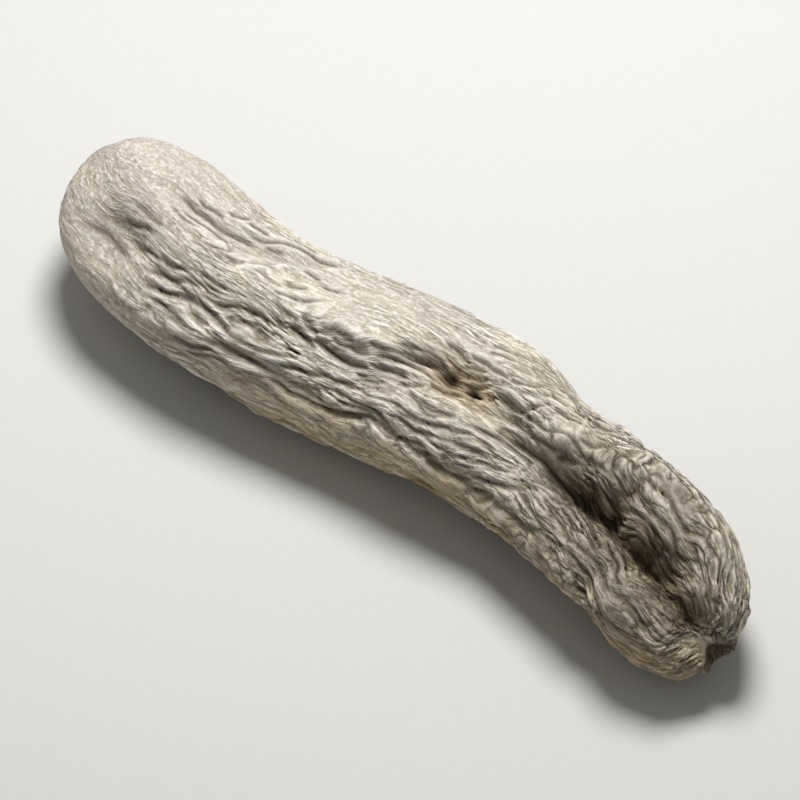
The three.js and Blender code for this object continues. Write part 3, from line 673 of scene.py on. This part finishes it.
calm = wrinkling(s, around)
on_tail = smooth(*TAIL_LINES_START, s)
at_tip = smooth(*TIP_START, s)
on_bead = bell(np.hypot(s - BEAD[0], around - BEAD[1]) / BEAD_REACH)
coarse_share = calm * (1 - 0.3 * groove) * (1 + 0.1 * on_tail - 0.4 * at_tip)
coarse_share *= 1 - 0.65 * beside
coarse_share *= 1 - 0.9 * on_bead
fine_share = mix(0.35, 1, on_body) * mix(0.4, 1, calm) * (1 + 0.5 * on_tail - 0.4 * at_tip)
fine_share *= 1 - 0.35 * beside
fine_share *= 1 - 0.8 * on_bead
store("coarse", "FLOAT", near_body * coarse_share * (1 + 0.2 * in_valley))
store("fine", "FLOAT", near_body * fine_share)
store("stipple", "FLOAT", 1 - 0.55 * on_body)
store("groove", "FLOAT", groove)
store("pale", "FLOAT", 1 - calm / off_the_head(s))
store("beside", "FLOAT", near_body * beside)
store("marked", "FLOAT", near_body * marked)
tuber = bpy.data.objects.new("tuber_skin", skin_mesh)
bpy.context.scene.collection.objects.link(tuber)


# The fine wrinkles. As the flesh shrank, the skin crumpled into long narrow ridges with dark creases
# between. Geometry nodes lay them over the skin at several widths, all drawn out along its lay.
def add(tree, kind, inputs=(), **settings):
    """Adds a node to a tree. Inputs are pairs of a socket's name or number and a value or a socket."""
    node = tree.nodes.new(kind)
    for key, value in settings.items():
        setattr(node, key, value)
    for key, value in inputs:
        if isinstance(value, bpy.types.NodeSocket):
            tree.links.new(value, node.inputs[key])
        else:
            node.inputs[key].default_value = value
    return node


def maths(tree, operation, *values):
    return add(tree, "ShaderNodeMath", list(enumerate(values)), operation=operation).outputs[0]


def group_input(group, name, kind, value=None):
    """Adds a named input to a node group, and tells its identifier."""
    socket = group.interface.new_socket(name=name, in_out="INPUT", socket_type=kind)
    if value is not None:
        socket.default_value = value
    return socket.identifier


def combine(tree, *values):
    return add(tree, "ShaderNodeCombineXYZ", list(enumerate(values))).outputs[0]


def vectors(tree, operation, *values):
    return add(tree, "ShaderNodeVectorMath", list(enumerate(values)), operation=operation).outputs[0]


def noise_at(tree, spot, detail=0.0, output=0):
    inputs = [("Vector", spot), ("Scale", 1.0), ("Detail", detail)]
    return add(tree, "ShaderNodeTexNoise", inputs).outputs[output]


def ramp(tree, value, low, high, to_low=0.0, to_high=1.0):
    names = ("Value", "From Min", "From Max", "To Min", "To Max")
    inputs = zip(names, (value, low, high, to_low, to_high))
    return add(tree, "ShaderNodeMapRange", inputs, interpolation_type="SMOOTHSTEP").outputs[0]


def speckle(tree, spot, spread, seed, detail=0.0, output=0):
    """Noise from 0 to 1 over the skin, with its size along and across in millimetres."""
    cells = vectors(tree, "DIVIDE", spot, (spread[0], spread[1], spread[1]))
    cells = vectors(tree, "ADD", cells, (seed, seed, seed))
    return noise_at(tree, cells, detail, output)


RIDGE = (14.0, 2.3, 0.3, 1.0)  # length, width, seed, detail
WRINKLE = (7.0, 1.15, 7.6, 2.0)
FINE_LINE = (4.0, 0.62, 15.4, 1.5)
HAIR_LINE = (2.4, 0.34, 23.2, 1.0)
NOISE_MIDDLE = 0.5  # a crease lies where the noise is at its middle
RIDGE_TOP = 0.22  # and a ridge is full height this far from it
KEPT_CELLS = (1.1, 0.45, 0.45)  # the lines come and go over wider cells
KEPT_SEED = (17.0, 5.0, 9.0)
KEPT = (0.36, 0.56)


def wrinkle_lines(tree, lay, size, crease):
    """One width of wrinkles, for the mesh and for the finish: its crease lines, and its round ridges."""
    length, width, seed, detail = size
    cells = vectors(tree, "DIVIDE", lay, (length, width, width))
    cells = vectors(tree, "ADD", cells, (seed, seed, seed))
    away = maths(tree, "ABSOLUTE", maths(tree, "SUBTRACT", noise_at(tree, cells, detail), NOISE_MIDDLE))
    steep = maths(tree, "POWER", maths(tree, "DIVIDE", away, crease), CREASE_STEEP)
    line = maths(tree, "EXPONENT", maths(tree, "MULTIPLY", steep, -1.0))
    wide_cells = vectors(tree, "ADD", vectors(tree, "MULTIPLY", cells, KEPT_CELLS), KEPT_SEED)
    kept = ramp(tree, noise_at(tree, wide_cells), *KEPT)
    return maths(tree, "MULTIPLY", line, kept), ramp(tree, away, 0.0, RIDGE_TOP)


wrinkler = bpy.data.node_groups.new("dried skin", "GeometryNodeTree")
group_input(wrinkler, "Geometry", "NodeSocketGeometry")
for name, value in (
    ("Ridge height", 0.14),
    ("Wrinkle height", 0.22),
    ("Line height", 0.13),
    ("Stipple height", 0.08),
    ("Sway", 1.0),
):
    group_input(wrinkler, name, "NodeSocketFloat", value)
skin_input = group_input(wrinkler, "Skin", "NodeSocketMaterial")
wrinkler.interface.new_socket(name="Geometry", in_out="OUTPUT", socket_type="NodeSocketGeometry")
given = add(wrinkler, "NodeGroupInput").outputs


def attribute(name, kind="FLOAT"):
    node = add(wrinkler, "GeometryNodeInputNamedAttribute", [("Name", name)], data_type=kind)
    return node.outputs[0]


def times(height, *factors):
    for factor in factors:
        height = maths(wrinkler, "MULTIPLY", height, factor)
    return height


SWAYS = [((14.0, 7.0), 1.8, 21.0), ((5.5, 3.5), 0.6, 22.0)]  # spread, by how much, seed
PATCH_NOISE = (0.36, 0.6)
RIDGE_SHARE = 0.7  # of a ridge's height, to one of its crease's depth
WRINKLES_WITH_FINE = 0.35  # the share of the wrinkles that comes back where only fine ones lie
BLUR_ROUNDS = {"line": 2, "furrow": 9, "fold": 50}

place = attribute("place", "FLOAT_VECTOR")
lay = attribute("lay", "FLOAT_VECTOR")
every_way = combine(wrinkler, given["Sway"], given["Sway"], given["Sway"])
for spread, by, seed in SWAYS:
    wave = vectors(wrinkler, "SUBTRACT", speckle(wrinkler, place, spread, seed, 0.0, 1), (0.5, 0.5, 0.5))
    wave = vectors(wrinkler, "MULTIPLY", wave, (0.0, 2 * by, 2 * by))
    lay = vectors(wrinkler, "ADD", lay, vectors(wrinkler, "MULTIPLY", wave, every_way))


def wrinkle_height(size, crease):
    line, top = wrinkle_lines(wrinkler, lay, size, crease)
    return maths(wrinkler, "SUBTRACT", maths(wrinkler, "MULTIPLY", top, RIDGE_SHARE), line)


patches = ramp(wrinkler, speckle(wrinkler, place, (14.0, 6.0), 3.0), *PATCH_NOISE, 0.45, 1.2)
fine_patches = ramp(wrinkler, speckle(wrinkler, place, (9.0, 4.0), 13.0), *PATCH_NOISE, 0.6, 1.25)
coarse = attribute("coarse")
fine = attribute("fine")
ridges = wrinkle_height(RIDGE, 0.11)
wrinkles = wrinkle_height(WRINKLE, 0.13)
fine_lines = wrinkle_height(FINE_LINE, 0.16)
dots = ramp(wrinkler, speckle(wrinkler, lay, (1.1, 0.55), 41.0, 1.0), 0.36, 0.52, -1.0, 0.0)
skin_height = times(ridges, given["Ridge height"], coarse, patches)
for layer in (
    (wrinkles, given["Wrinkle height"], coarse, fine_patches),
    (wrinkles, given["Wrinkle height"], fine, WRINKLES_WITH_FINE),
    (fine_lines, given["Line height"], fine),
    (dots, given["Stipple height"], attribute("stipple")),
):
    skin_height = maths(wrinkler, "ADD", skin_height, times(*layer))
facing_out = add(wrinkler, "GeometryNodeInputNormal").outputs[0]
push = add(
    wrinkler,
    "ShaderNodeVectorMath",
    [(0, facing_out), ("Scale", maths(wrinkler, "MULTIPLY", skin_height, MM))],
    operation="SCALE",
).outputs[0]
geometry = given["Geometry"]
moved = add(wrinkler, "GeometryNodeSetPosition", [("Geometry", geometry), ("Offset", push)]).outputs[0]
position = add(wrinkler, "GeometryNodeInputPosition").outputs[0]
not_below = vectors(wrinkler, "MAXIMUM", position, (-1.0, -1.0, 0.0))
moved = add(wrinkler, "GeometryNodeSetPosition", [("Geometry", moved), ("Position", not_below)]).outputs[0]


def keep(geometry, name, value, kind="FLOAT"):
    """Keeps a value for each point on the finished mesh, for the finish to read."""
    inputs = [("Geometry", geometry), ("Name", name), ("Value", value)]
    node = add(wrinkler, "GeometryNodeStoreNamedAttribute", inputs, data_type=kind, domain="POINT")
    return node.outputs[0]


# How far each point lies below the mean of those around it, over a line, a furrow and a fold. The finish
# paints the skin darker by these, partly its own brown in the hollows and partly painted shade.
whole_height = maths(wrinkler, "ADD", attribute("relief"), skin_height)
for name, rounds in BLUR_ROUNDS.items():
    blur_inputs = [("Value", whole_height), ("Iterations", rounds)]
    mean = add(wrinkler, "GeometryNodeBlurAttribute", blur_inputs).outputs[0]
    moved = keep(moved, name, maths(wrinkler, "SUBTRACT", mean, whole_height))
moved = keep(moved, "grain", lay, "FLOAT_VECTOR")
moved = add(wrinkler, "GeometryNodeRealizeInstances", [("Geometry", moved)]).outputs[0]
with_skin = [("Geometry", moved), ("Material", given["Skin"])]
moved = add(wrinkler, "GeometryNodeSetMaterial", with_skin).outputs[0]
add(wrinkler, "NodeGroupOutput", [("Geometry", moved)])


# The skin's finish: matt and dusty, grey-buff on the crests and greyer on the head, brown in the
# creases, more yellow along the lower edge, and dark where the buds and the scars dried. The creases and
# hollows are painted darker, partly their own brown and partly painted shade; the fine crests and the
# ridges beside the marked creases get a painted highlight; the groove and the tail get painted shade.
# It is all skin, with no coat on it.
def colour(hex_code):
    """A colour as the screen shows it, turned into the light values that nodes take."""
    parts = [int(hex_code[i : i + 2], 16) / 255 for i in (0, 2, 4)]
    return tuple(c / 12.92 if c <= 0.04045 else ((c + 0.055) / 1.055) ** 2.4 for c in parts) + (1.0,)


# the pale of dust on the skin, also used for painted highlights on the crests
DUST_AND_HIGHLIGHT = colour("f3ede4")
CREST = colour("ddd5c8")
MIDDLE = colour("aaa18b")
# the creases' brown, also used as painted shade in the creases and hollows
CREASE_BROWN_AND_SHADE = colour("3d2f15")
YELLOW = colour("e2cb98")
GREY = colour("c3baae")
LILAC = colour("b5aba2")
CREAM = colour("d6cbb2")
HEAD = colour("f6f2ff")
# painted shade: the tail is darkened towards its end, as if less light reached it
TAIL_SHADE = colour("b0a38c")
# painted shade in the cleft down the tail
GROOVE_SHADE = colour("776138")
STAIN = colour("d3b67f")
BUD = colour("3d2a10")
SCAR = colour("4a3a2a")
HEAD_SPECKLED = (32.0, 14.0)  # between these places, along or round, a colour comes in
HEAD_TINTED = (34.0, 14.0)
# over which the tail's painted shade comes in
TAIL_SHADED = (58.0, 88.0)
LOW_EDGE_ALONG = (24.0, 44.0)
LOW_EDGE_ROUND = (-9.0, -17.0)
# thin lines drawn dark in the creases, finer than the mesh can shade: partly brown, partly painted shade
CRISP_RIDGE = 0.035
CRISP_LINES = [  # size, crease, share
    (WRINKLE, 0.045, 1.0),
    (FINE_LINE, 0.055, 0.75),
    (HAIR_LINE, 0.07, 0.6),
]
ROUGHNESS = (0.84, 0.95)  # on the crests, and in the creases
SHINE = 0.3
BUMP_DEPTH = 0.17 * MM

skin = bpy.data.materials.new("dried_skin")
skin.use_nodes = True
shades = skin.node_tree
shades.nodes.clear()


def read(name, output="Fac"):
    return add(shades, "ShaderNodeAttribute", attribute_name=name).outputs[output]


def share_of(name, share):
    return maths(shades, "MULTIPLY", read(name), share)


def blend(factor, first, second, kind="MIX"):
    node = add(shades, "ShaderNodeMix", data_type="RGBA", blend_type=kind)
    for key, value in ((0, factor), (6, first), (7, second)):
        if isinstance(value, bpy.types.NodeSocket):
            shades.links.new(value, node.inputs[key])
        else:
            node.inputs[key].default_value = value
    return node.outputs[2]


def grain_at(name, spread, seed, detail=2.0):
    return speckle(shades, read(name, "Vector"), spread, seed, detail)


def crisp_line(size, crease):
    return wrinkle_lines(shades, read("grain", "Vector"), size, crease)[0]


line = read("line")
furrow = read("furrow")
fold = read("fold")
spot = add(shades, "ShaderNodeSeparateXYZ", [(0, read("spot", "Vector"))]).outputs
spot_along = spot["X"]
spot_round = spot["Y"]
fibre = grain_at("grain", (2.2, 0.24), 2.0, 1.5)
fine_fibre = grain_at("grain", (1.1, 0.12), 6.0, 1.0)
dust = grain_at("place", (0.5, 0.35), 8.0, 2.0)
mottle = grain_at("place", (9.0, 5.0), 4.0)
# the hollows are painted darker than the points above them: partly the skin's brown, partly painted shade
tone = blend(ramp(shades, furrow, 0.06, -0.12), MIDDLE, CREST)
tone = blend(ramp(shades, mottle, 0.35, 0.7, 0.0, 0.4), tone, GREY)
tone = blend(ramp(shades, fibre, 0.45, 0.7, 0.0, 0.4), tone, MIDDLE)
# painted highlight: the fine crests, above the skin round them, are painted paler
tone = blend(ramp(shades, line, 0.01, -0.06, 0.0, 0.55), tone, DUST_AND_HIGHLIGHT)
tone = blend(ramp(shades, dust, 0.5, 0.68, 0.0, 0.6), tone, DUST_AND_HIGHLIGHT)
tone = blend(ramp(shades, dust, 0.45, 0.3, 0.0, 0.45), tone, MIDDLE)
# painted shade in the broad folds
tone = blend(ramp(shades, fold, -0.1, 1.2, 0.0, 0.6), tone, MIDDLE)
head_specks = ramp(shades, grain_at("place", (0.75, 0.5), 51.0, 1.0), 0.54, 0.4)
on_head = ramp(shades, spot_along, *HEAD_SPECKLED, 0.0, 0.6)
tone = blend(maths(shades, "MULTIPLY", head_specks, on_head), tone, MIDDLE)
patch = grain_at("place", (12.0, 6.0), 12.0, 1.0)
tone = blend(ramp(shades, patch, 0.5, 0.3, 0.0, 0.35), tone, LILAC)
tone = blend(ramp(shades, patch, 0.5, 0.7, 0.0, 0.35), tone, CREAM)
tone = blend(share_of("pale", 0.15), tone, DUST_AND_HIGHLIGHT)
# painted highlight: the ridges beside the marked creases are painted paler
tone = blend(share_of("beside", 0.15), tone, DUST_AND_HIGHLIGHT)
# dark lines drawn into the creases, partly their brown and partly painted shade
thin = maths(shades, "MULTIPLY", crisp_line(RIDGE, CRISP_RIDGE), read("coarse"))
for wrinkle_size, crease, share in CRISP_LINES:
    crisp = maths(shades, "MULTIPLY", crisp_line(wrinkle_size, crease), share_of("fine", share))
    thin = maths(shades, "MAXIMUM", thin, crisp)
crease_brown_and_shade = maths(shades, "MAXIMUM", ramp(shades, line, 0.02, 0.15), ramp(shades, furrow, 0.1, 0.6))
crease_brown_and_shade = maths(shades, "MAXIMUM", crease_brown_and_shade, maths(shades, "MULTIPLY", thin, 0.6))
crease_brown_and_shade = maths(shades, "MAXIMUM", crease_brown_and_shade, share_of("marked", 0.9))
tone = blend(crease_brown_and_shade, tone, CREASE_BROWN_AND_SHADE)
tone = blend(ramp(shades, spot_along, *HEAD_TINTED, 0.0, 0.45), tone, HEAD, "MULTIPLY")
low_edge = ramp(shades, spot_round, *LOW_EDGE_ROUND)
low_edge = maths(shades, "MULTIPLY", low_edge, ramp(shades, spot_along, *LOW_EDGE_ALONG))
low_patches = ramp(shades, grain_at("grain", (5.0, 1.3), 31.0), 0.3, 0.65, 0.35, 1.0)
low_edge = maths(shades, "MULTIPLY", low_edge, low_patches)
tone = blend(maths(shades, "MULTIPLY", low_edge, 0.15), tone, CREST)
tone = blend(maths(shades, "MULTIPLY", low_edge, 0.7), tone, YELLOW, "MULTIPLY")
# painted shade over the tail
tone = blend(ramp(shades, spot_along, *TAIL_SHADED, 0.0, 0.3), tone, TAIL_SHADE, "MULTIPLY")
# painted shade in the groove
tone = blend(share_of("groove", 0.8), tone, GROOVE_SHADE, "MULTIPLY")
tone = blend(share_of("stain", 0.5), tone, STAIN, "MULTIPLY")
tone = blend(share_of("bud", 0.9), tone, BUD)
tone = blend(share_of("scar", 0.8), tone, SCAR)
rough = ramp(shades, crease_brown_and_shade, 0.0, 1.0, *ROUGHNESS)
bump_height = maths(shades, "MULTIPLY_ADD", dust, 0.35, fibre)
bump_height = maths(shades, "MULTIPLY_ADD", fine_fibre, 0.5, bump_height)
bump_height = maths(shades, "SUBTRACT", bump_height, thin)
bump_inputs = [("Strength", 1.0), ("Distance", BUMP_DEPTH), ("Height", bump_height)]
bump = add(shades, "ShaderNodeBump", bump_inputs).outputs[0]
shader = add(
    shades,
    "ShaderNodeBsdfPrincipled",
    [("Base Color", tone), ("Roughness", rough), ("Normal", bump), ("Specular IOR Level", SHINE)],
)
add(shades, "ShaderNodeOutputMaterial", [("Surface", shader.outputs[0])])

crumpling = tuber.modifiers.new("dried skin", "NODES")
crumpling.node_group = wrinkler
crumpling[skin_input] = skin
evaluated = tuber.evaluated_get(bpy.context.evaluated_depsgraph_get())
finished = bpy.data.meshes.new_from_object(evaluated)
finished.name = "tuber_skin"
tuber.modifiers.remove(crumpling)
tuber.data = finished
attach(tuber, "root")
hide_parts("tuber")

# The surface that the tuber lies on: a plain pale sheet, wide enough to fill every view. It is only
# there for the picture.
FLOOR_HALF = 3.0
FLOOR_COLOUR = colour("c9c8c4")
FLOOR_ROUGHNESS = 0.9
floor_mesh = bpy.data.meshes.new("floor")
corners = [(x * FLOOR_HALF, y * FLOOR_HALF, 0) for x, y in ((-1, -1), (1, -1), (1, 1), (-1, 1))]
floor_mesh.from_pydata(corners, [], [(0, 1, 2, 3)])
floor = bpy.data.objects.new("floor", floor_mesh)
bpy.context.scene.collection.objects.link(floor)
paper = bpy.data.materials.new("pale_paper")
paper.use_nodes = True
paper_inputs = paper.node_tree.nodes["Principled BSDF"].inputs
paper_inputs["Base Color"].default_value = FLOOR_COLOUR
paper_inputs["Roughness"].default_value = FLOOR_ROUGHNESS
floor_mesh.materials.append(paper)

# The camera looks down on the furrowed face, from the photograph's side and height, with a long lens.
# A broad soft light comes from above and behind the tuber, with a weak one from the front.
AZIMUTH = math.radians(43)
ELEVATION = math.radians(53)
LENS = 600
SENSOR = 36
FRAME_WIDTH = 0.0984
TARGET_HEIGHT = 9
LIGHTS = {  # which way, as shares of right, above and back; then distance, size and power
    "key": ((0.05, 0.9, 0.5), 0.36, 0.16, 1.74),
    "fill": ((-0.4, -0.5, 0.8), 1.2, 0.9, 0.4),
}
WORLD_LIGHT = 0.24
back = Vector(
    (
        math.sin(AZIMUTH) * math.cos(ELEVATION),
        -math.cos(AZIMUTH) * math.cos(ELEVATION),
        math.sin(ELEVATION),
    )
)
right = Vector((math.cos(AZIMUTH), math.sin(AZIMUTH), 0))
above = back.cross(right)
facing = Matrix((right, above, back)).transposed().to_4x4()
target = Vector((-BOX_CENTRE[0], -BOX_CENTRE[1], TARGET_HEIGHT)) * MM
camera_data = bpy.data.cameras.new("camera")
camera_data.lens = LENS
camera_data.sensor_width = SENSOR
camera_data.clip_end = 20
camera = bpy.data.objects.new("camera", camera_data)
camera.matrix_world = Matrix.Translation(target + back * FRAME_WIDTH * LENS / SENSOR) @ facing
bpy.context.scene.collection.objects.link(camera)
bpy.context.scene.camera = camera
for name, ((to_right, to_above, to_back), distance, disk_size, power) in LIGHTS.items():
    direction = right * to_right + above * to_above + back * to_back
    light = bpy.data.lights.new(name, "AREA")
    light.shape = "DISK"
    light.size = disk_size
    light.energy = power
    lamp = bpy.data.objects.new(name, light)
    lamp.location = target + direction.normalized() * distance
    lamp.rotation_euler = direction.to_track_quat("Z", "Y").to_euler()
    bpy.context.scene.collection.objects.link(lamp)
world = bpy.data.worlds.new("studio")
world.use_nodes = True
background = world.node_tree.nodes["Background"].inputs
background["Color"].default_value = (1.0, 1.0, 1.0, 1.0)
background["Strength"].default_value = WORLD_LIGHT
bpy.context.scene.world = world
bpy.context.scene.view_settings.view_transform = "Standard"
